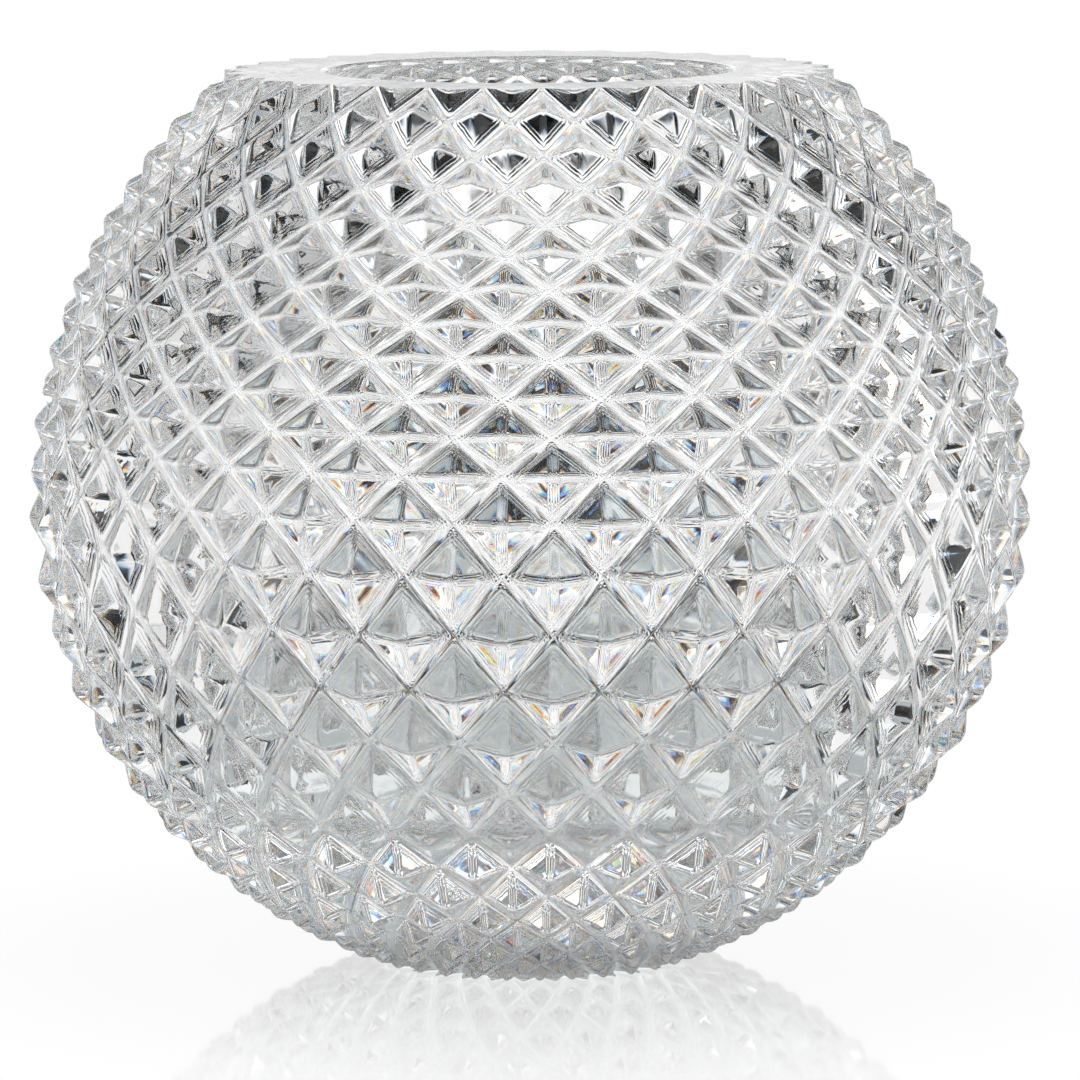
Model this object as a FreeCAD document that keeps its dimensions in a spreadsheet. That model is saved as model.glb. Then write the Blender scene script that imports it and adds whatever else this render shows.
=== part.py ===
import FreeCAD, Part
import math
import os
import Sketcher

# A cut-crystal rose bowl: one thick, round, hollow piece of clear glass.
# The outside is cut all over with two families of slanting grooves, which leave rows of four-sided
# points. The rim and the base are ground flat, and the inside is smooth.
# Millimetres, +Z up, origin in the middle of the standing face. The front is towards -Y.

# Each size: its name in the sheet, its value and what it measures.
SIZES = (
    ("height", 177.5, "standing face to flat rim"),
    ("belly_diameter", 200, "over the points, at the widest place"),
    ("belly_height", 93, "standing face to the widest place"),
    ("rim_diameter", 121, "over the points that the flat rim cuts through"),
    ("base_diameter", 64, "over the points that the standing face cuts through"),
    ("shoulder_bulge", 9.8, "how far the outline from belly to rim stands out from its chord"),
    ("column_count", 32, "points in each row round the bowl"),
    ("groove_angle", 122, "between the two walls of a groove, in degrees"),
    ("mouth_diameter", 81, "opening inside the flat rim"),
    ("wall_thickness", 12, "at the belly, over the points"),
    ("floor_thickness", 36, "glass under the inside"),
    ("heel_radius", 12, "where the wall turns into the floor inside"),
    ("overrun", 5, "how far the tool that opens the mouth runs past the rim"),
)

# What follows from them. From base to belly the outline is a ball round the axis, and from belly to
# rim a flatter arc. The wall keeps its thickness up to the lip, where a straight run to the mouth begins.
FOLLOWING_SIZES = (
    ("ball_up", "((belly_diameter / 2)^2 + belly_height^2 - (base_diameter / 2)^2) / (2 * belly_height)",
     "standing face to the centre of the ball"),
    ("ball_radius", "sqrt((base_diameter / 2)^2 + ball_up^2)", "of the ball"),
    ("shoulder_chord", "hypot(height - belly_height; (belly_diameter - rim_diameter) / 2)",
     "belly to rim, straight"),
    ("shoulder_radius", "(shoulder_chord^2 / 4 + shoulder_bulge^2) / (2 * shoulder_bulge)",
     "of the shoulder's arc"),
    ("shoulder_out", "(belly_diameter + rim_diameter) / 4"
     " - (shoulder_radius - shoulder_bulge) * (height - belly_height) / shoulder_chord",
     "axis to the centre of the shoulder's arc"),
    ("shoulder_up", "(height + belly_height) / 2"
     " - (shoulder_radius - shoulder_bulge) * (belly_diameter - rim_diameter) / 2 / shoulder_chord",
     "standing face to the centre of the shoulder's arc"),
    ("lip_out", "rim_diameter / 2 - wall_thickness * (rim_diameter / 2 - shoulder_out) / shoulder_radius",
     "axis to where the lip begins inside"),
    ("lip_up", "height - wall_thickness * (height - shoulder_up) / shoulder_radius",
     "standing face to where the lip begins inside"),
)

# Heights of the rows of groove crossings, from the rim down to the base, of the bowl's height.
# The points are squat at the shoulder and grow taller towards the base.
ROW_HEIGHT_SHARES = (
    1, 0.967, 0.932, 0.899, 0.865, 0.831, 0.797, 0.762, 0.727, 0.687, 0.648, 0.607, 0.558,
    0.502, 0.438, 0.376, 0.319, 0.264, 0.210, 0.168, 0.129, 0.096, 0.070, 0.046, 0.026, 0.011, 0,
)


def make_sheet(document):
    """Writes every size into a spreadsheet cell that carries the size's name."""
    sheet = document.addObject("Spreadsheet::Sheet", "Sizes")
    given = [(name, str(value), meaning) for name, value, meaning in SIZES]
    following = [(name, f"={formula}", meaning) for name, formula, meaning in FOLLOWING_SIZES]
    for row, (name, content, meaning) in enumerate(given + following, start=1):
        sheet.set(f"A{row}", meaning)
        sheet.setAlias(f"B{row}", name)
        sheet.set(f"B{row}", content)
    document.recompute()
    return sheet


class OutlineArc:
    """Arc of the outline, from its centre's distance to the axis and height, and its radius."""

    def __init__(self, centre_out, centre_up, radius):
        self.centre_out = centre_out
        self.centre_up = centre_up
        self.radius = radius

    @classmethod
    def through(cls, lower, upper, radius):
        """Arc of a radius that bulges away from the axis between two (distance, height) places."""
        across = upper[0] - lower[0]
        along = upper[1] - lower[1]
        chord = math.hypot(across, along)
        inset = math.sqrt(radius ** 2 - chord ** 2 / 4)
        centre_out = (lower[0] + upper[0]) / 2 - inset * along / chord
        centre_up = (lower[1] + upper[1]) / 2 + inset * across / chord
        return cls(centre_out, centre_up, radius)

    def turn_of(self, place):
        """Angle of a (distance, height) place seen from the centre."""
        return math.atan2(place[1] - self.centre_up, place[0] - self.centre_out)

    def radius_at(self, height):
        """Distance from the bowl's axis to the arc at a height."""
        return self.centre_out + math.sqrt(self.radius ** 2 - (height - self.centre_up) ** 2)

    def outward_at(self, height):
        """Direction square to the arc at a height: its parts away from the axis and upwards."""
        upward = (height - self.centre_up) / self.radius
        return math.sqrt(1 - upward ** 2), upward


def cut_rows(sheet):
    """For each row, the (radius, height) of its groove crossings and of the tips between them."""
    ball_arc = OutlineArc(0, sheet.ball_up, sheet.ball_radius)
    shoulder_arc = OutlineArc(sheet.shoulder_out, sheet.shoulder_up, sheet.shoulder_radius)
    outline = []
    for share in ROW_HEIGHT_SHARES:
        height = share * sheet.height
        arc = shoulder_arc if height > sheet.belly_height else ball_arc
        outline.append((arc.radius_at(height), height, *arc.outward_at(height)))

    steepness = 1 / math.tan(math.radians(sheet.groove_angle / 2))
    last = len(outline) - 1
    rows = []
    for number, (radius, height, outward, upward) in enumerate(outline):
        # half the spacing of the grooves that bound a point, from its half width and half height
        upper = outline[max(number - 1, 0)]
        lower = outline[min(number + 1, last)]
        rows_apart = min(number + 1, last) - max(number - 1, 0)
        half_height = math.dist(upper[:2], lower[:2]) / rows_apart
        half_width = math.pi * radius / sheet.column_count
        half_spacing = half_width * half_height / math.hypot(half_width, half_height)
        depth = half_spacing * steepness
        crossing = (radius - depth / outward, height)
        tip = (crossing[0] + depth * outward, height + depth * upward)
        rows.append((crossing, tip))
    # the rim and the standing face are ground flat through the tips of the end rows
    rows[0] = (rows[0][0], (sheet.rim_diameter / 2, sheet.height))
    rows[-1] = (rows[-1][0], (sheet.base_diameter / 2, 0))
    return rows


def place_round(ring, position, columns):
    """Point on a (radius, height) ring, counted in columns from the front."""
    angle = 2 * math.pi * position / columns - math.pi / 2
    return FreeCAD.Vector(ring[0] * math.cos(angle), ring[0] * math.sin(angle), ring[1])


def facet(*corners):
    """Flat face with the given corners."""
    return Part.Face(Part.makePolygon(list(corners) + [corners[0]]))


def end_face(crossings, tips):
    """Flat face through an end row, whose edge runs from crossing to tip to crossing."""
    corners = []
    for crossing, tip in zip(crossings, tips):
        corners.extend((crossing, tip))
    return facet(*corners)


def cut_glass(document, sheet):
    """Solid glass with the cut outside: four facets rise to each tip from the grooves round it."""
    rows = cut_rows(sheet)
    columns = round(sheet.column_count)
    crossings = []
    tips = []
    for number, (crossing, tip) in enumerate(rows):
        # the crossings of one row stand over the tips of the next
        shift = number % 2 / 2
        crossings.append([place_round(crossing, column + shift, columns) for column in range(columns)])
        tips.append([place_round(tip, column + shift + 1 / 2, columns) for column in range(columns)])

    faces = [end_face(crossings[0], tips[0]), end_face(crossings[-1], tips[-1])]
    for number in range(len(rows)):
        for column in range(columns):
            tip = tips[number][column]
            left = crossings[number][column]
            right = crossings[number][(column + 1) % columns]
            beside = (column + number % 2) % columns
            for neighbour in (number - 1, number + 1):
                if 0 <= neighbour < len(rows):
                    end = crossings[neighbour][beside]
                    faces.append(facet(tip, left, end))
                    faces.append(facet(tip, right, end))
    skin = Part.makeCompound(faces)
    skin.sewShape()
    glass = document.addObject("Part::Feature", "CutGlass")
    glass.Shape = Part.Solid(skin.Shells[0])
    return glass


def inside_tool(document, sheet):
    """Turned shape of the inside: it follows the outline at the wall's thickness down to a flat floor."""
    body = document.addObject("PartDesign::Body", "InsideTool")
    planes = {plane.Role: plane for plane in body.Origin.OriginFeatures}
    sketch = body.newObject("Sketcher::SketchObject", "InsideProfile")
    sketch.AttachmentSupport = [(planes["XZ_Plane"], "")]
    sketch.MapMode = "FlatFace"

    top = sheet.height + sheet.overrun
    floor = sheet.floor_thickness
    mouth = sheet.mouth_diameter / 2
    lip = (sheet.lip_out, sheet.lip_up)
    # the lower zone keeps its distance from the ball outside
    ball_radius = sheet.ball_radius - sheet.wall_thickness
    waist_drop = sheet.ball_up - sheet.belly_height
    waist = (math.sqrt(ball_radius ** 2 - waist_drop ** 2), sheet.belly_height)
    # the heel's arc touches the floor from above and the ball from inside
    heel_radius = sheet.heel_radius
    heel_drop = sheet.ball_up - floor - heel_radius
    heel_out = math.sqrt((ball_radius - heel_radius) ** 2 - heel_drop ** 2)
    heel_turn = math.atan2(heel_drop, heel_out)
    # above the waist the wall keeps its distance from the shoulder's arc
    shoulder = OutlineArc.through(waist, lip, sheet.shoulder_radius - sheet.wall_thickness)

    def line(*ends):
        first, last = (FreeCAD.Vector(radius, height, 0) for radius, height in ends)
        return sketch.addGeometry(Part.LineSegment(first, last))

    def arc(radius, centre, begin, finish):
        circle = Part.Circle(FreeCAD.Vector(*centre, 0), FreeCAD.Vector(0, 0, 1), radius)
        return sketch.addGeometry(Part.ArcOfCircle(circle, begin, finish))

    axis_line = line((0, floor), (0, top))
    lid_line = line((0, top), (mouth, top))
    throat_line = line((mouth, top), (mouth, sheet.height))
    lip_line = line((mouth, sheet.height), lip)
    shoulder_arc = arc(shoulder.radius, (shoulder.centre_out, shoulder.centre_up),
                       shoulder.turn_of(waist), shoulder.turn_of(lip))
    ball_arc = arc(ball_radius, (0, sheet.ball_up), -heel_turn, -math.asin(waist_drop / ball_radius))
    heel_arc = arc(heel_radius, (heel_out, floor + heel_radius), -math.pi / 2, -heel_turn)
    floor_line = line((heel_out, floor), (0, floor))

    begin, finish, centre = 1, 2, 3
    upright_axis = -2
    for joint in ((axis_line, finish, lid_line, begin), (lid_line, finish, throat_line, begin),
                  (throat_line, finish, lip_line, begin), (lip_line, finish, shoulder_arc, finish),
                  (shoulder_arc, begin, ball_arc, finish), (floor_line, finish, axis_line, begin)):
        sketch.addConstraint(Sketcher.Constraint("Coincident", *joint))
    for joint in ((ball_arc, begin, heel_arc, finish), (heel_arc, begin, floor_line, begin)):
        sketch.addConstraint(Sketcher.Constraint("Tangent", *joint))
    for place in ((axis_line, begin), (ball_arc, centre)):
        sketch.addConstraint(Sketcher.Constraint("PointOnObject", *place, upright_axis))
    for level in (lid_line, floor_line):
        sketch.addConstraint(Sketcher.Constraint("Horizontal", level))
    for upright in (axis_line, throat_line):
        sketch.addConstraint(Sketcher.Constraint("Vertical", upright))
    measures = (
        ("floor_up", "DistanceY", (axis_line, begin), floor, "Sizes.floor_thickness"),
        ("top_up", "DistanceY", (axis_line, finish), top, "Sizes.height + Sizes.overrun"),
        ("mouth_out", "DistanceX", (throat_line, finish), mouth, "Sizes.mouth_diameter / 2"),
        ("mouth_up", "DistanceY", (throat_line, finish), sheet.height, "Sizes.height"),
        ("lip_out", "DistanceX", (lip_line, finish), lip[0], "Sizes.lip_out"),
        ("lip_up", "DistanceY", (lip_line, finish), lip[1], "Sizes.lip_up"),
        ("waist_up", "DistanceY", (ball_arc, finish), waist[1], "Sizes.belly_height"),
        ("ball_up", "DistanceY", (ball_arc, centre), sheet.ball_up, "Sizes.ball_up"),
        ("ball_size", "Radius", (ball_arc,), ball_radius, "Sizes.ball_radius - Sizes.wall_thickness"),
        ("shoulder_size", "Radius", (shoulder_arc,), shoulder.radius,
         "Sizes.shoulder_radius - Sizes.wall_thickness"),
        ("heel_size", "Radius", (heel_arc,), heel_radius, "Sizes.heel_radius"),
    )
    for name, kind, place, value, expression in measures:
        index = sketch.addConstraint(Sketcher.Constraint(kind, *place, value))
        sketch.renameConstraint(index, name)
        sketch.setExpression(f"Constraints.{name}", expression)

    turned = body.newObject("PartDesign::Revolution", "InsideTurned")
    turned.Profile = sketch
    turned.ReferenceAxis = (sketch, ["V_Axis"])
    turned.Angle = 360
    return body


def check(document, pieces):
    """Stops if anything failed, or if a piece isn't one valid solid."""
    for thing in document.Objects:
        if "Invalid" in thing.State or "Error" in thing.State:
            raise RuntimeError(f"{thing.Name} failed: {thing.State}")
    for piece in pieces:
        shape = piece.Shape
        if shape.isNull() or not shape.isValid() or len(shape.Solids) != 1:
            raise RuntimeError(f"{piece.Label} isn't one valid solid")
        print(piece.Label, "volume", round(shape.Volume), "box", shape.BoundBox)


def export(pieces):
    """Writes each piece to a file that carries its label."""
    os.makedirs("parts", exist_ok=True)
    for piece in pieces:
        piece.Shape.exportStep(f"parts/{piece.Label}.step")


document = FreeCAD.newDocument("RoseBowl")
sheet = make_sheet(document)
bowl = document.addObject("Part::Cut", "Bowl")
bowl.Label = "crystal_bowl"
bowl.Base = cut_glass(document, sheet)
bowl.Tool = inside_tool(document, sheet)
document.recompute()
check(document, [bowl])
export([bowl])
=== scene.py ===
import math

import bpy
import numpy as np
from mathutils import Matrix


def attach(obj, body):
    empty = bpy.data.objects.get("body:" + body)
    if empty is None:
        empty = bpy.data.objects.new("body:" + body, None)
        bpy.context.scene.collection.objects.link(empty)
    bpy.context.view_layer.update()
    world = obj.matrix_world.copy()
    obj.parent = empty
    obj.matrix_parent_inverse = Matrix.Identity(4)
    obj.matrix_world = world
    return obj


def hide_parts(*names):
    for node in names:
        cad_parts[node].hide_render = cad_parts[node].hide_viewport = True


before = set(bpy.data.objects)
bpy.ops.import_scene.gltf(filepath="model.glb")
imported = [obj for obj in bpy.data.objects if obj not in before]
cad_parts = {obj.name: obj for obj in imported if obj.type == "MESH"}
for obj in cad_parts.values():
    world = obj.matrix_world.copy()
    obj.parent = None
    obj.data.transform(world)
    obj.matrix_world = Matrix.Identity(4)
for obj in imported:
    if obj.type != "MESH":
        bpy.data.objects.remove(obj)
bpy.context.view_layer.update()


# ---- Camera
# A long lens a little above the rim, almost square to the front of the bowl, as the photograph
# was taken: 1.4 m away, tipped down, with the smallest turn about its own axis.
FILM_WIDTH, LENS = 36, 229.8
NEAREST, FARTHEST = 0.05, 50
CAMERA_PLACE = (-0.0600, -1.36448, 0.26665)
# degrees
HEADING, DOWNWARD, ROLL = -2.597, 7.643, -0.2645

camera_data = bpy.data.cameras.new("Camera")
camera_data.sensor_width = FILM_WIDTH
camera_data.lens = LENS
camera_data.clip_start, camera_data.clip_end = NEAREST, FARTHEST
camera = bpy.data.objects.new("Camera", camera_data)
bpy.context.scene.collection.objects.link(camera)
camera.matrix_world = (
    Matrix.Translation(CAMERA_PLACE)
    @ Matrix.Rotation(math.radians(HEADING), 4, "Z")
    @ Matrix.Rotation(math.radians(90 - DOWNWARD), 4, "X")
    @ Matrix.Rotation(math.radians(ROLL), 4, "Z")
)
bpy.context.scene.camera = camera


# ---- Crystal bowl
# One thick piece of clear crystal, cast in a mould and then cut all over with two families of
# slanting grooves, which cross and leave rows of four-sided points. The rim and the standing face
# are ground flat and polished, and the inside is smooth.
HEIGHT = 0.1775
# (radius, height) over the points
RIM, BELLY, BASE = (0.0605, HEIGHT), (0.100, 0.093), (0.032, 0.0)
SHOULDER_BULGE = 0.0098
COLUMNS = 32
# degrees
GROOVE_ANGLE = 122
# from the rim down to the standing face
ROW_HEIGHT_SHARES = (
    1, 0.967, 0.932, 0.899, 0.865, 0.831, 0.797, 0.762, 0.727, 0.687, 0.648, 0.607, 0.558,
    0.502, 0.438, 0.376, 0.319, 0.264, 0.210, 0.168, 0.129, 0.096, 0.070, 0.046, 0.026, 0.011, 0,
)
LAST_ROW = len(ROW_HEIGHT_SHARES) - 1
BELLY_ROW = 13
# the bottom of a groove and the back of a ridge, as half widths at the belly, and the largest
# share of a facet that each may take
GROOVE_ROUND, RIDGE_ROUND = 0.0015, 0.0009
WIDEST_GROOVE, WIDEST_RIDGE = 0.35, 0.3
# how far the cutter strays from its marks, in columns or rows, and in depth
STRAY, DEPTH_STRAY = 0.018, 0.03
# inside
MOUTH, MOUTH_EDGE = 0.0405, 0.0008
WALL, INSIDE_FLOOR, HEEL = 0.012, 0.036, 0.012
INSIDE_TURNS = 96
EDGE_STEPS, LIP_STEPS, SHOULDER_STEPS, BALL_STEPS, HEEL_STEPS = 6, 6, 16, 15, 9
FLOOR_RINGS = 0.7, 0.4, 0.15
# mark of the places that lie on no cut
UNCUT = 9.0


def bulged_arc(lower, upper, radius=None, bulge=None):
    """Centre and radius of an arc that stands out between two (radius, height) places."""
    across, along = upper[0] - lower[0], upper[1] - lower[1]
    chord = math.hypot(across, along)
    radius = radius or (chord ** 2 / 4 + bulge ** 2) / (2 * bulge)
    inset = math.sqrt(radius ** 2 - chord ** 2 / 4)
    middle = (lower[0] + upper[0]) / 2, (lower[1] + upper[1]) / 2
    return middle[0] - inset * along / chord, middle[1] + inset * across / chord, radius


# from base to belly the outline is a ball round the axis, and from belly to rim a flatter arc
BALL_UP = (BELLY[0] ** 2 + BELLY[1] ** 2 - BASE[0] ** 2) / (2 * BELLY[1])
BALL = 0, BALL_UP, math.hypot(BASE[0], BALL_UP)
SHOULDER = bulged_arc(BELLY, RIM, bulge=SHOULDER_BULGE)


def cut_rows():
    """(radius, height) of each row's groove crossings and tips, and its half spacing."""
    outline = []
    for share in ROW_HEIGHT_SHARES:
        height = share * HEIGHT
        centre_out, centre_up, radius = SHOULDER if height > BELLY[1] else BALL
        upward = (height - centre_up) / radius
        outward = math.sqrt(1 - upward ** 2)
        outline.append((centre_out + radius * outward, height, outward, upward))
    crossings, tips, spacings = [], [], []
    for number, (radius, height, outward, upward) in enumerate(outline):
        upper, lower = max(number - 1, 0), min(number + 1, LAST_ROW)
        half_height = math.dist(outline[upper][:2], outline[lower][:2]) / (lower - upper)
        half_width = math.pi * radius / COLUMNS
        half_spacing = half_width * half_height / math.hypot(half_width, half_height)
        depth = half_spacing / math.tan(math.radians(GROOVE_ANGLE / 2))
        crossing = radius - depth / outward, height
        crossings.append(crossing)
        tips.append((crossing[0] + depth * outward, height + depth * upward))
        spacings.append(half_spacing)
    tips[0], tips[-1] = RIM, BASE
    return np.array(crossings), np.array(tips), np.array(spacings)


def between_rows(values, row):
    """Smooth curve through one value per row, read at any place between the rows."""
    values = values.reshape(len(values), -1)
    before = 2 * values[0] - values[1]
    after = 2 * values[-1] - values[-2]
    padded = np.vstack([before, values, after])
    whole = np.clip(np.floor(row).astype(int), 0, LAST_ROW - 1)
    part = (row - whole)[..., None]
    a, b, c, d = (padded[whole + step] for step in range(4))
    return b + 0.5 * part * (c - a + part * (2 * a - 5 * b + 4 * c - d
                                             + part * (3 * (b - c) + d - a)))


CROSSINGS, TIPS, HALF_SPACINGS = cut_rows()
chance = np.random.default_rng(7)
CROSSING_STRAY = chance.uniform(-STRAY, STRAY, (LAST_ROW + 1, COLUMNS, 2))
CROSSING_STRAY[0, :, 1] = CROSSING_STRAY[LAST_ROW, :, 1] = 0
TIP_STRAY = chance.uniform(-DEPTH_STRAY, DEPTH_STRAY, (LAST_ROW + 1, COLUMNS))
TIP_STRAY[0] = TIP_STRAY[LAST_ROW] = 0


def rounding(row):
    """Widths of the round groove bottom and of the soft ridge, as shares of a row's facets."""
    spacing = HALF_SPACINGS[row]
    shrink = math.sqrt(spacing / HALF_SPACINGS[BELLY_ROW])
    groove = min(GROOVE_ROUND * shrink / spacing, WIDEST_GROOVE)
    ridge = min(2 * RIDGE_ROUND * shrink / spacing, WIDEST_RIDGE)
    return groove, ridge


def from_groove(s, t):
    """How far a place on a point lies from the nearest of the four grooves round it."""
    return np.minimum(np.minimum(s, 1 - s), np.minimum(t, 1 - t))


def soft_least(first, second, width):
    """The lesser of two heights, with the crease between them rounded."""
    near = np.maximum(width - np.abs(first - second), 0) / width
    return np.minimum(first, second) - near ** 2 * width / 4


def relief(s, t, row):
    """Height of a point's skin over the grooves' crossings, from 0 there to 1 at the tip."""
    groove, ridge = rounding(row)
    out_of_reach = 4.0
    thinnest = 0.02

    def wall(away):
        return np.where(away > groove, away, (away ** 2 + groove ** 2) / (2 * groove))

    def skin(s, t):
        upper_right = wall(2 * t) if row > 0 else out_of_reach
        upper_left = wall(2 * s) if row > 0 else out_of_reach
        lower_left = wall(2 - 2 * t) if row < LAST_ROW else out_of_reach
        lower_right = wall(2 - 2 * s) if row < LAST_ROW else out_of_reach
        # the ridges run out into the grooves
        width = ridge * np.clip(2 * from_groove(s, t) / groove, thinnest, 1)
        return soft_least(soft_least(upper_left, lower_right, width),
                          soft_least(upper_right, lower_left, width), width)

    crossing = groove / 2
    tip = skin(np.array(0.5), np.array(0.5))
    # neighbouring points share the very bottom of the groove
    at_bottom = np.abs(from_groove(s, t)) < 1e-9
    return np.where(at_bottom, 0, (skin(s, t) - crossing) / (tip - crossing))


def skin_place(s, t, row, column):
    """Place in space of (s, t) on one point: s runs down to the right, t down to the left."""
    right = (column + row % 2) % COLUMNS
    above, below = max(row - 1, 0), min(row + 1, LAST_ROW)
    # each crossing carries its stray along; the rim and the standing face stay flat
    of_above = 1 - s - t if row == LAST_ROW else (1 - s) * (1 - t)
    of_below = s + t - 1 if row == 0 else s * t
    stray = (
        of_above[..., None] * CROSSING_STRAY[above, right][:, None]
        + (s * (1 - t))[..., None] * CROSSING_STRAY[row, (column + 1) % COLUMNS][:, None]
        + ((1 - s) * t)[..., None] * CROSSING_STRAY[row, column][:, None]
        + of_below[..., None] * CROSSING_STRAY[below, right][:, None]
    )
    turn = column[:, None] + row % 2 / 2 + 0.5 + (s - t) / 2 + stray[..., 0]
    level = row - 1 + s + t + stray[..., 1]
    height = relief(s, t, row) * (1 + TIP_STRAY[row, column][:, None])
    bottom, rise = between_rows(CROSSINGS, level), between_rows(TIPS - CROSSINGS, level)
    ring = bottom + height[..., None] * rise
    angle = 2 * math.pi * turn / COLUMNS - math.pi / 2
    radius = ring[..., 0]
    return np.stack([radius * np.cos(angle), radius * np.sin(angle), ring[..., 1]], -1)


def facet_net(row):
    """(s, t) of the net over a lower right facet, ring by ring from its groove to the tip."""
    groove, ridge = (width / 2 for width in rounding(row))
    rings = [0, groove / 2, groove, (groove + 0.5 - ridge) / 2, 0.5 - ridge, 0.5 - ridge / 2]
    net = []
    for number, inset in enumerate(rings):
        side = 1 - 2 * inset
        # the net is finer beside the ridges
        wide = 0.06 if number == 0 else min(ridge, 0.4 * side)
        along = inset + np.array([0, wide / 2, wide, side - wide, side - wide / 2, side])
        net.append(np.stack([np.full(len(along), 1 - inset), along], -1))
    return np.array(net)


def facet_faces(rings, across):
    """Corner numbers of the quads in a facet's net, and of the triangles round its tip."""
    quads = []
    for ring in range(rings - 1):
        for step in range(across - 1):
            corner = ring * across + step
            quads.append((corner, corner + across, corner + across + 1, corner + 1))
    last = (rings - 1) * across
    fans = [(last + step, rings * across, last + step + 1) for step in range(across - 1)]
    return quads + fans


def cut_skin():
    """Places, normals, marks and faces of the whole cut outside.

    A mark is how far a corner lies from the nearest groove, in widths of the groove's rounded
    bottom, and how far along that groove.
    """
    places, normals, marks, faces = [], [], [], []
    columns = np.arange(COLUMNS)
    step = 1e-4
    count = 0
    for row in range(LAST_ROW + 1):
        net = facet_net(row)
        net_faces = facet_faces(*net.shape[:2])
        base = np.vstack([net.reshape(-1, 2), [[0.5, 0.5]]])
        bottom = rounding(row)[0] / 2
        mark = np.column_stack([(1 - base[:, 0]) / bottom, base[:, 1]])
        # the four facets of a point, each a mirror or a turn of the lower right one
        sides = {
            "lower_right": base,
            "lower_left": np.stack([1 - base[:, 1], base[:, 0]], -1),
            "upper_left": 1 - base,
            "upper_right": np.stack([base[:, 1], 1 - base[:, 0]], -1),
        }
        ground_off = {0: "upper", LAST_ROW: "lower"}.get(row, "none")
        for name, spot in sides.items():
            if name.startswith(ground_off):
                continue
            s = np.broadcast_to(spot[:, 0], (COLUMNS, len(spot)))
            t = np.broadcast_to(spot[:, 1], (COLUMNS, len(spot)))
            here = skin_place(s, t, row, columns)
            down_right = (skin_place(s + step, t, row, columns)
                          - skin_place(s - step, t, row, columns))
            down_left = (skin_place(s, t + step, row, columns)
                         - skin_place(s, t - step, row, columns))
            outward = np.cross(down_left, down_right)
            outward /= np.linalg.norm(outward, axis=-1, keepdims=True)
            places.append(here.reshape(-1, 3))
            normals.append(outward.reshape(-1, 3))
            # every facet starts elsewhere along the groove, so that no two waver alike
            along = mark[:, 1] + chance.uniform(0, 50, (COLUMNS, 1))
            away = np.broadcast_to(mark[:, 0], along.shape)
            marks.append(np.stack([away, along], -1).reshape(-1, 2))
            for column in range(COLUMNS):
                start = count + column * len(spot)
                faces.extend(tuple(start + corner for corner in face) for face in net_faces)
            count += COLUMNS * len(spot)
    return np.vstack(places), np.vstack(normals), np.vstack(marks), faces


def inside_profile():
    """(radius, height) places of the inside and their normals, from the flat rim to the floor."""
    edge = MOUTH + MOUTH_EDGE, HEIGHT - MOUTH_EDGE
    lip = [RIM[part] - WALL * (RIM[part] - SHOULDER[part]) / SHOULDER[2] for part in (0, 1)]
    # the straight lip touches the mouth's rounded edge
    out, up = edge[0] - lip[0], edge[1] - lip[1]
    lip_turn = math.atan2(up, out) - math.acos(MOUTH_EDGE / math.hypot(out, up))
    ball = BALL[2] - WALL
    waist = math.sqrt(ball ** 2 - (BALL_UP - BELLY[1]) ** 2), BELLY[1]
    shoulder = bulged_arc(waist, lip, radius=SHOULDER[2] - WALL)
    heel_drop = BALL_UP - INSIDE_FLOOR - HEEL
    heel_out = math.sqrt((ball - HEEL) ** 2 - heel_drop ** 2)
    heel_turn = math.atan2(heel_drop, heel_out)
    profile = []

    def arc(centre, radius, begin, finish, steps, side):
        for number in range(steps + 1):
            turn = begin + (finish - begin) * number / steps
            toward = math.cos(turn), math.sin(turn)
            profile.append((centre[0] + radius * toward[0], centre[1] + radius * toward[1],
                            side * toward[0], side * toward[1]))

    def turn_of(place, centre):
        return math.atan2(place[1] - centre[1], place[0] - centre[0])

    arc(edge, MOUTH_EDGE, math.pi / 2, math.pi + lip_turn, EDGE_STEPS, 1)
    arc(shoulder, shoulder[2], turn_of(lip, shoulder), turn_of(waist, shoulder), SHOULDER_STEPS, -1)
    profile.pop()
    arc(BALL, ball, turn_of(waist, BALL), -heel_turn, BALL_STEPS, -1)
    profile.pop()
    heel = heel_out, INSIDE_FLOOR + HEEL
    arc(heel, HEEL, -heel_turn, -math.pi / 2, HEEL_STEPS, -1)
    for share in FLOOR_RINGS:
        profile.append((heel_out * share, INSIDE_FLOOR, 0, 1))
    profile = np.array(profile)
    # evenly spaced places in the straight lip
    straight = [
        profile[EDGE_STEPS] + (profile[EDGE_STEPS + 1] - profile[EDGE_STEPS]) * number / LIP_STEPS
        for number in range(1, LIP_STEPS)
    ]
    return np.vstack([profile[:EDGE_STEPS + 1], straight, profile[EDGE_STEPS + 1:]])


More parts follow.
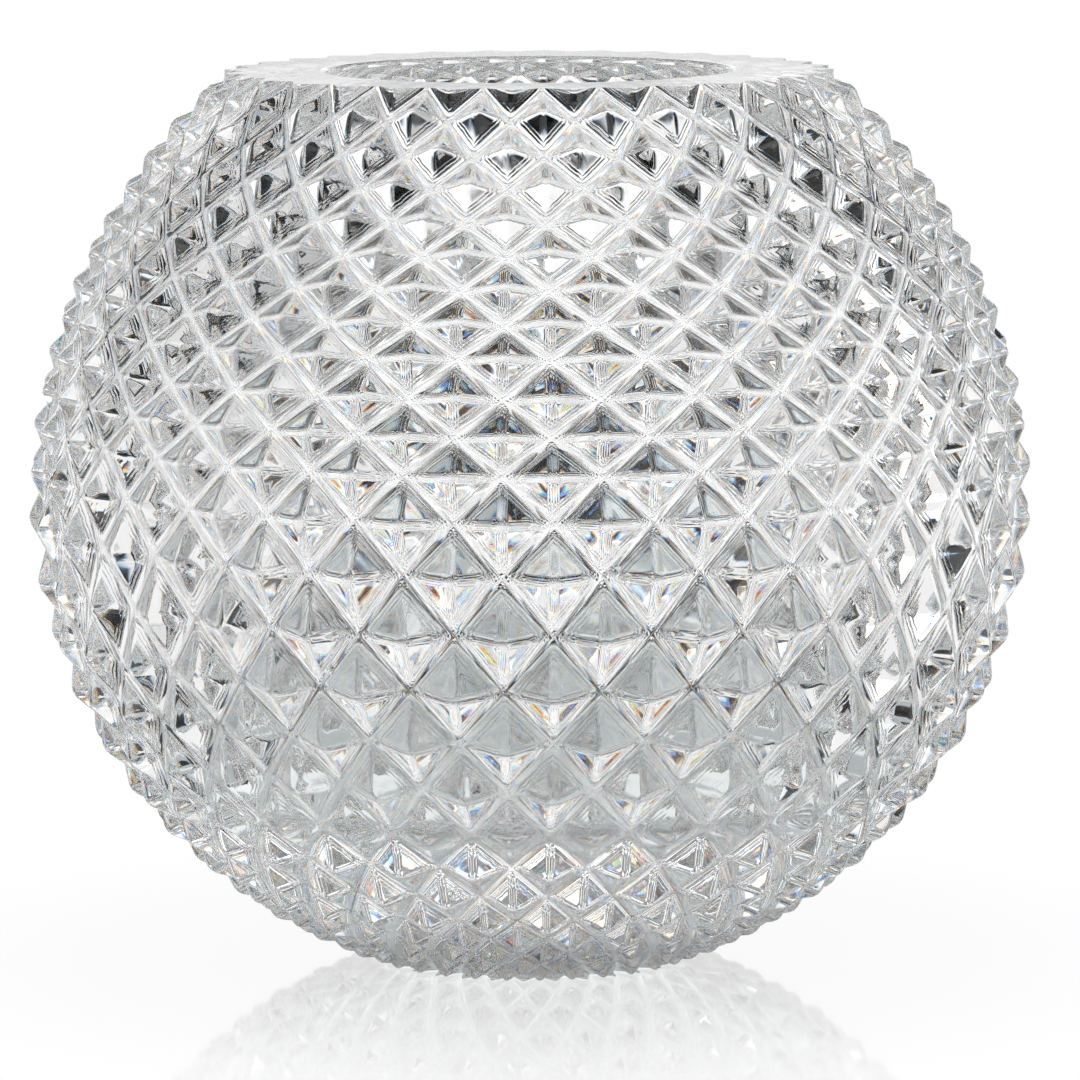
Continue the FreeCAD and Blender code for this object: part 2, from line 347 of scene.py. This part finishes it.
def make_bowl():
    places, normals, marks, faces = cut_skin()
    # corners that neighbouring facets share become one
    _, first, inverse = np.unique(np.round(places, 6), axis=0,
                                  return_index=True, return_inverse=True)
    inverse = inverse.reshape(-1)
    summed = np.zeros((len(first), 3))
    np.add.at(summed, inverse, normals)
    summed /= np.linalg.norm(summed, axis=1, keepdims=True)
    places = places[first]
    whole = [face for face in faces if len({inverse[corner] for corner in face}) == len(face)]
    corner_marks = [marks[corner] for face in whole for corner in face]
    faces = [tuple(inverse[corner] for corner in face) for face in whole]
    corner_normals = [summed[corner] for face in faces for corner in face]

    # the inside, turned round the axis
    profile = inside_profile()
    start = len(places)
    turns = 2 * math.pi * np.arange(INSIDE_TURNS) / INSIDE_TURNS - math.pi / 2
    round_out = np.stack([np.cos(turns), np.sin(turns)], -1)
    rings, ring_normals = [], []
    for radius, height, out, up in profile:
        rings.append(np.column_stack([radius * round_out, np.full(INSIDE_TURNS, height)]))
        ring_normals.append(np.column_stack([out * round_out, np.full(INSIDE_TURNS, up)]))
    places = np.vstack([places, *rings, [[0, 0, INSIDE_FLOOR]]])
    last = len(profile) - 1
    for ring in range(last):
        for turn in range(INSIDE_TURNS):
            following = (turn + 1) % INSIDE_TURNS
            face = ((ring, turn), (ring, following), (ring + 1, following), (ring + 1, turn))
            faces.append(tuple(start + a * INSIDE_TURNS + b for a, b in face))
            corner_normals.extend(ring_normals[a][b] for a, b in face)
    innermost = start + last * INSIDE_TURNS
    for turn in range(INSIDE_TURNS):
        following = (turn + 1) % INSIDE_TURNS
        faces.append((innermost + turn, innermost + following, len(places) - 1))
        corner_normals.extend([(0, 0, 1)] * 3)

    # the flat rim, one face for each column, and the standing face
    flat_within, turn_within = 1e-7, 1e-4
    outer = np.where(np.abs(places[:start, 2] - HEIGHT) < flat_within)[0]
    outer_turn = np.arctan2(places[outer, 1], places[outer, 0]) + math.pi / 2 + turn_within
    outer_turn = outer_turn % (2 * math.pi)
    outer = outer[np.argsort(outer_turn)]
    outer_turn = np.sort(outer_turn)
    per_column = INSIDE_TURNS // COLUMNS
    column_starts = [
        int(np.argmin(np.abs(outer_turn - 2 * math.pi * column / COLUMNS - turn_within)))
        for column in range(COLUMNS)
    ] + [len(outer)]
    column_starts[0] = 0
    for column in range(COLUMNS):
        cut_edge = [outer[number % len(outer)]
                    for number in range(column_starts[column], column_starts[column + 1] + 1)]
        mouth_edge = [start + (column * per_column + step) % INSIDE_TURNS
                      for step in range(per_column, -1, -1)]
        face = tuple(int(corner) for corner in cut_edge + mouth_edge)
        faces.append(face)
        corner_normals.extend([(0, 0, 1)] * len(face))
    ground = np.where(np.abs(places[:start, 2]) < flat_within)[0]
    ground_turn = np.arctan2(places[ground, 1], places[ground, 0])
    face = tuple(int(corner) for corner in ground[np.argsort(-ground_turn)])
    faces.append(face)
    corner_normals.extend([(0, 0, -1)] * len(face))

    mesh = bpy.data.meshes.new("crystal_rose_bowl")
    mesh.from_pydata(places.tolist(), [], faces)
    mesh.polygons.foreach_set("use_smooth", [True] * len(mesh.polygons))
    mesh.update()
    mesh.normals_split_custom_set(np.array(corner_normals).tolist())
    uncut = np.full((len(corner_normals) - len(corner_marks), 2), UNCUT)
    corner_marks = np.vstack([corner_marks, uncut])
    mesh.uv_layers.new(name="cut").data.foreach_set("uv", corner_marks.ravel())
    bowl = bpy.data.objects.new("crystal_rose_bowl", mesh)
    bpy.context.scene.collection.objects.link(bowl)
    return bowl


def node(tree, kind, *terms, **named):
    """New node. Its sockets, in order or by name, take a value or another node's output."""
    made = tree.nodes.new("ShaderNode" + kind)
    sockets = list(zip(made.inputs, terms))
    sockets += [(made.inputs[name], term) for name, term in named.items()]
    for socket, term in sockets:
        if isinstance(term, bpy.types.NodeSocket):
            tree.links.new(term, socket)
        else:
            socket.default_value = term
    return made


def maths(tree, operation, *terms):
    """Result of one sum on outputs and plain numbers."""
    made = node(tree, "Math", *terms)
    made.operation = operation
    return made.outputs[0]


def ramp(tree, value, stops, mode="EASE"):
    """Grey or colour that a value picks from (place, grey or colour) stops."""
    made = node(tree, "ValToRGB", value)
    made.color_ramp.interpolation = mode
    elements = made.color_ramp.elements
    while len(elements) < len(stops):
        elements.new(0.5)
    for element, (place, shade) in zip(elements, stops):
        element.position = place
        element.color = (*shade, 1) if isinstance(shade, tuple) else (shade, shade, shade, 1)
    return made.outputs[0]


bowl = make_bowl()

crystal = bpy.data.materials.new("clear_crystal")
crystal.use_nodes = True
tree = crystal.node_tree
tree.nodes.clear()

# how far from the nearest groove, and how far along it; the inside and the flats have neither
cut_marks = node(tree, "UVMap")
cut_marks.uv_map = "cut"
cut_parts = node(tree, "SeparateXYZ", cut_marks.outputs[0])
outside = maths(tree, "LESS_THAN", cut_parts.outputs["X"], UNCUT - 1)

# the wheel's narrow lines along both sides of each groove, which waver as the hand did
LINE_HEIGHT, LINES_REACH = 0.00007, 0.4
WAVES_PER_FACET, WAVER = 5, 0.22
LINE_PROFILE = [
    (0.0, 0.35), (0.12, 0.0), (0.30, 0.0), (0.42, 0.0), (0.47, 1.0), (0.52, 0.0), (0.58, 0.0),
    (0.64, 0.6), (0.70, 0.0), (1.0, 0.0),
]
waver = node(tree, "TexNoise")
waver.noise_dimensions = "1D"
waver.inputs["Scale"].default_value = WAVES_PER_FACET
waver.inputs["Detail"].default_value = 1
tree.links.new(cut_parts.outputs["Y"], waver.inputs["W"])
wavering = maths(tree, "MULTIPLY_ADD", waver.outputs[0], WAVER, cut_parts.outputs["X"])
wheel_lines = ramp(tree, maths(tree, "MULTIPLY", wavering, LINES_REACH), LINE_PROFILE, "B_SPLINE")

# the soft hollows that polishing leaves, and a few small drops
HOLLOWS_PER_METRE, HOLLOW_DEPTH = 130, 0.00004
DROPS_PER_METRE, DROP_HEIGHT, DROPS_LEFT_OUT = 170, 0.00022, 0.955
DROP_PROFILE = [(0.0, 1.0), (0.10, 1.0), (0.16, 0.5), (0.24, 0.0)]
on_body = node(tree, "TexCoord").outputs["Object"]
hollows = node(tree, "TexNoise", Vector=on_body, Scale=HOLLOWS_PER_METRE, Detail=2)
drops = node(tree, "TexVoronoi", Vector=on_body, Scale=DROPS_PER_METRE)
drop_shape = ramp(tree, drops.outputs["Distance"], DROP_PROFILE, "B_SPLINE")
drop_colour = node(tree, "SeparateColor", drops.outputs["Color"])
chosen = maths(tree, "GREATER_THAN", drop_colour.outputs[0], DROPS_LEFT_OUT)
few_drops = maths(tree, "MULTIPLY", drop_shape, chosen)

skin = node(tree, "Bump", Strength=outside, Distance=HOLLOW_DEPTH, Height=hollows.outputs[0])
skin = node(tree, "Bump", Strength=outside, Distance=DROP_HEIGHT, Height=few_drops,
            Normal=skin.outputs[0])
skin = node(tree, "Bump", Strength=outside, Distance=LINE_HEIGHT, Height=wheel_lines,
            Normal=skin.outputs[0])


def clear_glass(colour, bending):
    """One clear part of the crystal: the light it lets through and how far it bends it."""
    made = node(tree, "BsdfGlass", Color=(*colour, 1), Roughness=0, IOR=bending,
                Normal=skin.outputs[0])
    return made.outputs[0]


# the colours part where the light leaves towards the eye; together they let all light through
BENDING = 1.545
whole = clear_glass((1, 1, 1), BENDING)
warm = clear_glass((0.56, 0.19, 0.09), 1.532)
green = clear_glass((0.30, 0.52, 0.23), BENDING)
cold = clear_glass((0.14, 0.29, 0.68), 1.563)
warm_and_green = node(tree, "AddShader", warm, green)
parted = node(tree, "AddShader", warm_and_green.outputs[0], cold)
to_eye = node(tree, "LightPath").outputs["Is Camera Ray"]
glass = node(tree, "MixShader", to_eye, whole, parted.outputs[0])
node(tree, "OutputMaterial", Surface=glass.outputs[0])
bowl.data.materials.append(crystal)

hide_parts("crystal_bowl")
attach(bowl, "root")


# ---- Floor
# A wide sheet of white gloss acrylic, lit evenly, that mirrors the bowl faintly. Seen through the
# bowl it glows with a painted grey shadow of the bowl, and with painted shade on the table round
# it.
FLOOR_GAP, FLOOR_REACH = 0.0002, 6
MIRROR = [(0.04, 0.42), (0.17, 0.12)]
MIRROR_ROUGHNESS, FLOOR_STRENGTH = 0.06, 1.03
# painted light and shade seen through the bowl: the bowl's painted grey shadow on the sheet, a
# darker painted contact-shadow ring near its foot and a painted bright ring further out
PAINTED_BOWL_SHADOW, SHADOW, GLEAM = (0.46, 0.50, 0.505), (0.16, 0.18, 0.185), (0.86, 0.90, 0.90)
PAINTED_SHADOW_EDGE, TABLE_EDGE = 0.118, 0.124

floor_mesh = bpy.data.meshes.new("floor")
corners = (-1, -1), (1, -1), (1, 1), (-1, 1)
floor_mesh.from_pydata(
    [(x * FLOOR_REACH, y * FLOOR_REACH, -FLOOR_GAP) for x, y in corners], [], [(0, 1, 2, 3)],
)
floor = bpy.data.objects.new("floor", floor_mesh)
bpy.context.scene.collection.objects.link(floor)
acrylic = bpy.data.materials.new("white_acrylic")
acrylic.use_nodes = True
tree = acrylic.node_tree
tree.nodes.clear()
where = node(tree, "NewGeometry").outputs["Position"]
length = node(tree, "VectorMath", where)
length.operation = "LENGTH"
distance = length.outputs["Value"]

# how much the acrylic mirrors, fading away from the bowl
mirror = ramp(tree, distance, MIRROR)
gloss = node(tree, "BsdfGlossy", Color=mirror, Roughness=MIRROR_ROUGHNESS)
unmirrored = node(tree, "Invert", Color=mirror)
bright = node(tree, "Emission", Color=unmirrored.outputs[0], Strength=FLOOR_STRENGTH)
seen_first = node(tree, "AddShader", bright.outputs[0], gloss.outputs[0])


def away_from_back(tree, parts):
    """Angle away from straight behind the bowl, as a share of half a turn."""
    angle = maths(tree, "ARCTAN2", parts.outputs["X"], parts.outputs["Y"])
    return maths(tree, "DIVIDE", maths(tree, "ABSOLUTE", angle), math.pi)


def blended(tree, factor, first, second):
    """Two colours mixed by a factor."""
    mixed = tree.nodes.new("ShaderNodeMix")
    mixed.data_type = "RGBA"
    tree.links.new(factor, mixed.inputs["Factor"])
    tree.links.new(first, mixed.inputs[6])
    tree.links.new(second, mixed.inputs[7])
    return mixed.outputs[2]


# seen through the bowl, by the distance from its axis, the sheet glows with painted light and
# shade:
# the bowl's painted grey shadow under it with a painted contact shadow and a painted bright ring,
# then painted shade on the table behind, painted light on the table beside it and painted shade on
# the table on the camera's side
around = away_from_back(tree, node(tree, "SeparateXYZ", where))
under = [(0.030, PAINTED_BOWL_SHADOW), (0.034, SHADOW), (0.044, PAINTED_BOWL_SHADOW), (0.062, PAINTED_BOWL_SHADOW), (0.070, GLEAM),
         (0.088, GLEAM), (0.096, PAINTED_BOWL_SHADOW), (PAINTED_SHADOW_EDGE, PAINTED_BOWL_SHADOW)]
behind = ramp(tree, distance,
              under + [(TABLE_EDGE, 0.02), (0.29, 0.02), (0.31, 1.0), (0.9, 1.0)])
beside = ramp(tree, distance, under + [(TABLE_EDGE, 0.03), (0.155, 0.03), (0.165, 0.95)])
before = ramp(tree, distance, under + [(TABLE_EDGE, 0.04), (0.9, 0.04)])
lit = blended(tree, ramp(tree, around, [(0.22, 0), (0.25, 1)]), behind, beside)
lit = blended(tree, ramp(tree, around, [(0.66, 0), (0.70, 1)]), lit, before)
# a glow that paints this light and shade, seen by every ray but the eye's
painted_light_and_shade = node(tree, "Emission", Color=lit)
to_eye = node(tree, "LightPath").outputs["Is Camera Ray"]
sheet = node(tree, "MixShader", to_eye, painted_light_and_shade.outputs[0], seen_first.outputs[0])
node(tree, "OutputMaterial", Surface=sheet.outputs[0])
floor_mesh.materials.append(acrylic)


# ---- Light
# A bright panel behind the bowl and a soft box at each side, with dark gaps between them. The room
# on the camera's side and the ceiling are dark but for one dimmer panel over the camera.
DARK = 0.02
# the box on the right is the brighter one
LEVEL, UNEVEN = 1.20, 0.42
STRIP_GAIN, BACKDROP = 0.6, 1.05
# by the share of half a turn away from straight behind the bowl
LOW = [(0.185, 0.95), (0.20, DARK), (0.30, DARK), (0.315, 1.0), (0.62, 1.0), (0.64, DARK)]
MIDDLE = [(0.36, DARK), (0.38, 0.6), (0.56, 0.6), (0.58, DARK), (0.70, DARK), (0.72, 0.85)]
HIGH = [(0.70, DARK), (0.74, 0.5)]
# by the height of the look, as the sine of its angle
TO_MIDDLE = [(0.36, 0), (0.45, 1)]
TO_HIGH = [(0.76, 0), (0.80, 1)]
# full light but for a dimmer line that the flat rim mirrors, and none from the ceiling
TO_CEILING = [(0.045, 1), (0.055, 0.78), (0.075, 0.78), (0.085, 1), (0.80, 1), (0.885, 0)]
# a brighter strip low on the panel behind
STRIP_HEIGHT = [(0.10, 0), (0.115, 1), (0.185, 1), (0.20, 0)]
STRIP_WIDTH = [(0.13, 1), (0.15, 0)]

world = bpy.data.worlds.new("studio")
world.use_nodes = True
bpy.context.scene.world = world
tree = world.node_tree
tree.nodes.clear()
parts = node(tree, "SeparateXYZ", node(tree, "TexCoord").outputs["Generated"])
height = parts.outputs["Z"]
around = away_from_back(tree, parts)
low, middle, high = (ramp(tree, around, stops) for stops in (LOW, MIDDLE, HIGH))
lit = blended(tree, ramp(tree, height, TO_MIDDLE), low, middle)
lit = blended(tree, ramp(tree, height, TO_HIGH), lit, high)
uneven = maths(tree, "MULTIPLY_ADD", parts.outputs["X"], UNEVEN, LEVEL)
strength = maths(tree, "MULTIPLY", ramp(tree, height, TO_CEILING), uneven)
strip = maths(tree, "MULTIPLY", ramp(tree, height, STRIP_HEIGHT), ramp(tree, around, STRIP_WIDTH))
strength = maths(tree, "MULTIPLY_ADD", strip, STRIP_GAIN, strength)
studio = node(tree, "Background", Color=lit, Strength=strength)
# the eye and the floor's soft mirror see a plain backdrop
backdrop = node(tree, "Background", Strength=BACKDROP)
seen_by = node(tree, "LightPath")
soft = maths(tree, "SUBTRACT", seen_by.outputs["Is Glossy Ray"], seen_by.outputs["Is Singular Ray"])
soft.node.use_clamp = True
plain = maths(tree, "MAXIMUM", seen_by.outputs["Is Camera Ray"], soft)
room = node(tree, "MixShader", plain, studio.outputs[0], backdrop.outputs[0])
node(tree, "OutputWorld", Surface=room.outputs[0])

scene = bpy.context.scene
scene.view_settings.view_transform = "Standard"
scene.cycles.max_bounces = 24
scene.cycles.transmission_bounces = 24
scene.cycles.glossy_bounces = 12
scene.cycles.use_denoising = True
